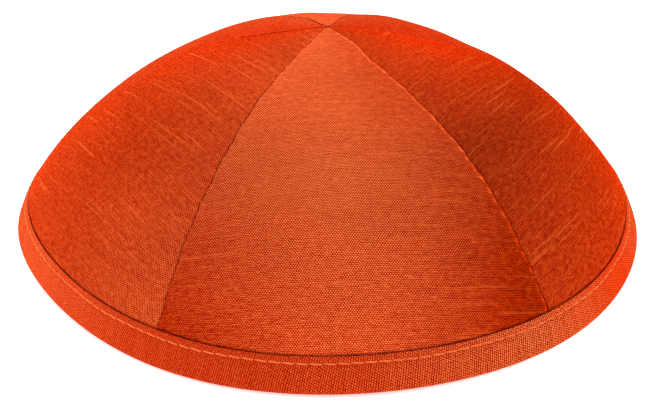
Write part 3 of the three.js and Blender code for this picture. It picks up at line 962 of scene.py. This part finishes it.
# Millimetres from thread to thread, and the mean of a sine without its sign
WEFT_PITCH = 0.35
WARP_PITCH = 0.25
RIB_PITCH = 0.47
TAPE_PITCH = 0.35
TWIST_PITCH = 0.3
SINE_MEAN = 0.64
WEAVE_RELIEF = 0.07 * MM
FLOAT_RELIEF = 0.03 * MM
SCRATCH_RELIEF = 0.012 * MM

# Kinds of unevenness: changes a millimetre along u and along v, and detail
WEFT_DRIFT = (0.06, 0.5, 3.0)
WARP_DRIFT = (0.5, 0.06, 2.0)
STREAKS = (0.08, 2.9, 2.0)
DASHES = (0.75, 2.9, 1.0)
GRIT = (3.1, 2.9, 1.0)
BLOTS = (0.6, 0.9, 2.0)
MOTTLE = (0.05, 0.07, 2.0)
SLUBS = (0.034, 1.3, 1.5)
SLUB_WAVER = (0.09, 0.15, 2.0)
RIB_DRIFT = (0.3, 0.12, 2.0)
RIB_GRIT = (2.4, 1.8, 1.0)
RIB_SPECKS = (3.9, 3.6, 0.0)
RIB_STREAKS = (1.5, 0.08, 2.0)
SATIN_FLOATS = (5.0, 0.6, 2.0)
SATIN_CLOUDS = (0.05, 0.04, 2.0)
TAPE_GRIT = (1.5, 1.5, 2.0)


def silk_colour(f, share, shine):
    """Threads from dark to light by a share, ending in a deep orange where matt and in a pale painted
    sheen by the sheen's share.
    """
    return f.blend(shine, f.ramp(share, DEEP_STOPS), f.ramp(share, PAINTED_SHEEN_STOPS))


def silk_finish(name):
    """Plain-weave silk on the cloth's map: weft threads along u, slubs and streaks along them."""
    f = Finish(name)
    u, v = f.cloth()
    tone, shine, open_weave = f.looks()
    row = (v + f.uneven(u, v, WEFT_DRIFT) * 0.4) * (math.pi / WEFT_PITCH)
    column = (u + f.uneven(u, v, WARP_DRIFT) * 0.3) * (math.pi / WARP_PITCH)
    weft = f.size(f.sine(row))
    crossing = f.sine(row) * f.sine(column)
    streak = f.uneven(u, v, STREAKS, 0.6)
    dash = f.uneven(u, v, DASHES)
    grit = f.uneven(u, v, GRIT)
    blot = f.uneven(u, v, BLOTS)
    thick = f.uneven(u, v + f.uneven(u, v, SLUB_WAVER) * 1.1, SLUBS)
    broken = grit * 1.9 + dash * 1.2 + 0.85
    slub = f.span(thick, 0.118, 0.21) * (1 - shine * 0.85) * f.span(broken, 0, 1)
    # The weights say how much each kind of thread and unevenness shows
    # Partly painted: the checks of warp over weft are the threads' own colours, and the weft's lighter
    # crests and darker gaps are painted light and shade
    weave = (crossing * 0.6 + (weft - SINE_MEAN) * 0.8) * open_weave
    uneven = streak * 0.6 + dash * 0.75 + grit + blot * (1.1 - shine) * open_weave * 0.6
    uneven = uneven * (1.75 - shine * 0.7) * (open_weave * 0.35 + 0.55)
    share = (weave + uneven) * 1.05 + 0.5
    colour = f.blend(slub * 0.6, silk_colour(f, share, shine), SILK_SLUB)
    # Random mottle, times the painted light and shade
    colour = f.shade(colour, (f.uneven(u, v, MOTTLE) * 0.24 + 1) * tone)
    height = weft * 0.55 + crossing * 0.3 + streak * 0.4 + slub * 0.6 + grit * 0.3
    return f.surface(Base_Color=colour, Roughness=f.span(share, 0, 1, 0.62, 0.45),
                     Specular_IOR_Level=SILK_GLOSS, Normal=f.bump(height, WEAVE_RELIEF))


def binding_finish(name):
    """The same silk on the folded strip: fine ribs across it, close together round the rim."""
    f = Finish(name)
    u, v = f.cloth()
    tone, shine, open_weave = f.looks()
    drift = f.uneven(u, v, RIB_DRIFT)
    turn = (u + v * 0.2 + drift * 0.7) * (math.pi / RIB_PITCH)
    rib = f.size(f.sine(turn))
    cross = f.sine(turn) * f.sine((v + drift * 0.3) * (math.pi / WARP_PITCH))
    grit = f.uneven(u, v, RIB_GRIT)
    speck = f.uneven(u, v, RIB_SPECKS)
    streak = f.uneven(u, v, RIB_STREAKS)
    # The ribs' lighter crests and darker gaps between them are painted light and shade
    uneven = (rib - SINE_MEAN) * 0.7 + cross * 0.3 + grit * 0.8 + speck * 0.6 + streak * 0.35
    share = uneven * open_weave + f.span(open_weave, 0.3, 0.9, 0.6, 0.5)
    # The silk's colour times the strip's painted light and shade
    colour = f.shade(silk_colour(f, share, shine), tone)
    height = rib * 0.4 + cross * 0.2 + grit * 0.3 + streak * 0.2
    return f.surface(Base_Color=colour, Roughness=f.span(share, 0, 1, 0.62, 0.5),
                     Specular_IOR_Level=SILK_GLOSS, Normal=f.bump(height, WEAVE_RELIEF))


def thread_finish(name, colours, gloss):
    """Twisted sewing thread: slanting strands along its length."""
    f = Finish(name)
    u, v = f.cloth()
    twist = f.size(f.sine((u * 1.1 + v * 1.4) * (math.pi / TWIST_PITCH)))
    return f.surface(Base_Color=f.blend(twist, *colours), Roughness=0.6,
                     Specular_IOR_Level=gloss, Normal=f.bump(twist, FLOAT_RELIEF))


def satin_finish(name):
    """White lining satin: long floats along v, with a soft gloss and hardly any weave."""
    f = Finish(name)
    u, v = f.cloth()
    floats = f.uneven(u, v, SATIN_FLOATS)
    share = floats * 0.6 + f.uneven(u, v, SATIN_CLOUDS) * 0.4 + 0.5
    return f.surface(Base_Color=f.blend(share, *SATIN),
                     Roughness=f.span(floats, -0.2, 0.2, 0.36, 0.46),
                     Specular_IOR_Level=SATIN_GLOSS, Normal=f.bump(floats, FLOAT_RELIEF))


def tab_finish(name):
    """A woven white tape: small square checks of warp and weft."""
    f = Finish(name)
    u, v = f.cloth()
    weave = f.sine(u * (math.pi / TAPE_PITCH)) * f.sine(v * (math.pi / TAPE_PITCH))
    share = f.span(weave * 0.4 + f.uneven(u, v, TAPE_GRIT) * 0.6 + 0.5, 0, 1)
    return f.surface(Base_Color=f.blend(share, *TAPE), Roughness=0.7,
                     Specular_IOR_Level=TAPE_GLOSS, Normal=f.bump(share, WEAVE_RELIEF))


def nickel_finish(name):
    """Nickel-plated steel: a cool grey with fine scratches and faint wear."""
    f = Finish(name)
    x, y, z = (part * (1 / MM) for part in f.parts(f.node("ShaderNodeTexCoord", {}, {}, "Object")))
    scratch = f.noise(f.vector(x * 9.0, y * 0.7, z * 0.7), detail=3.0, roughness=0.7)
    cloud = f.noise(f.vector(x * 0.5, y * 0.5, z * 0.5), detail=3.0)
    return f.surface(Base_Color=f.blend(cloud, *NICKEL), Metallic=1.0,
                     Roughness=f.span(scratch * 0.6 + cloud * 0.4, 0.3, 0.7, 0.16, 0.34),
                     Normal=f.bump(scratch, SCRATCH_RELIEF))


TABLE_GLOW = 0.6
TABLE_GRAIN = 60.0
# The table glows less under the cap, up to this radius and over so much more
UNDER_CAP = 79 * MM
GLOW_EDGE = 3 * MM
DIM_SHARE = 0.38


def floor_finish():
    """A white light table, lit a little round the cap, that doesn't hide the cap from below."""
    f = Finish("studio_floor")
    place = f.node("ShaderNodeTexCoord", {}, {}, "Object")
    colour = f.blend(f.noise(place, TABLE_GRAIN), *TABLE)
    x, y, _ = f.parts(place)
    lit = f.span(f.root(x * x + y * y), UNDER_CAP, UNDER_CAP + GLOW_EDGE, DIM_SHARE)
    white = f.node("ShaderNodeAddShader", {}, {
        0: f.node("ShaderNodeBsdfDiffuse", {}, {"Color": colour}),
        1: f.node("ShaderNodeEmission", {}, {"Color": f.shade(colour, lit), "Strength": TABLE_GLOW})})
    clear = f.node("ShaderNodeBsdfTransparent")
    behind = f.node("ShaderNodeNewGeometry", {}, {}, "Backfacing")
    mixed = f.node("ShaderNodeMixShader", {}, {0: behind, 1: white, 2: clear})
    f.node("ShaderNodeOutputMaterial", {}, {"Surface": mixed})
    return f.material


# Studio

ROOM_LIGHT = 0.5
FLOOR_HALF = 30.0
FLOOR_BELOW = 0.02 * MM
# Name, place, aim, width and power of each lamp
LIT_PLACE = (0, 0, 0.02)
SOFTBOXES = [
    ("back_light", (-0.1, 0.5, 0.7), LIT_PLACE, 0.6, 5.0),
    ("left_light", (-0.8, 0.2, 0.3), LIT_PLACE, 0.5, 3.7),
    ("right_light", (0.8, 0.2, 0.3), LIT_PLACE, 0.5, 3.8),
    ("front_light", (0.0, -0.9, 0.45), LIT_PLACE, 0.6, 1.2),
    ("overhead_light", (0.0, 0.0, 0.9), LIT_PLACE, 0.8, 0.9),
    ("hollow_light", (-0.01, -0.01, 0.6 * MM), (-0.01, -0.01, 0.04), 0.07, 0.008),
]


def make_surroundings():
    """An even white room."""
    world = bpy.data.worlds.new("studio")
    world.use_nodes = True
    background = world.node_tree.nodes["Background"].inputs
    background["Color"].default_value = rgb(1, 1, 1)
    background["Strength"].default_value = ROOM_LIGHT
    bpy.context.scene.world = world


def make_floor():
    """A wide flat square that the cap stands on."""
    corners = [(-1, -1), (1, -1), (1, 1), (-1, 1)]
    points = np.array([(FLOOR_HALF * x, FLOOR_HALF * y, -FLOOR_BELOW) for x, y in corners])
    floor = add_mesh("studio_floor", points, np.array([[0, 1, 2, 3]]), floor_finish())


def make_softbox(name, place, aim, size, power):
    """A square lamp at a place, turned towards an aim."""
    lamp = bpy.data.lights.new(name, "AREA")
    lamp.shape = "SQUARE"
    lamp.size = size
    lamp.energy = power
    holder = put_in_scene(name, lamp)
    turned = (Vector(aim) - Vector(place)).to_track_quat("-Z", "Y").to_matrix()
    holder.matrix_world = Matrix.Translation(place) @ turned.to_4x4()


make_surroundings()
make_floor()
for softbox in SOFTBOXES:
    make_softbox(*softbox)

silk = silk_finish("orange_silk")
binding_silk = binding_finish("orange_binding")
orange_thread = thread_finish("orange_thread", ORANGE_THREAD, SILK_GLOSS)
white_thread = thread_finish("white_thread", WHITE_THREAD, WHITE_THREAD_GLOSS)
satin = satin_finish("white_satin")
tab_tape = tab_finish("white_tab")
nickel = nickel_finish("nickel_steel")

for gore_number in range(PANELS):
    make_crown_gore(gore_number, silk)
    make_lining_gore(gore_number, satin)
make_top_patch(satin)
make_binding(binding_silk)
for rim_thread in RIM_THREADS:
    make_rim_thread(*rim_thread, orange_thread)
make_tab(tab_tape)
for steel_piece in STEEL_PIECES:
    bevelled_steel(*steel_piece, nickel)
make_spring(nickel)
make_clip_threads(white_thread)
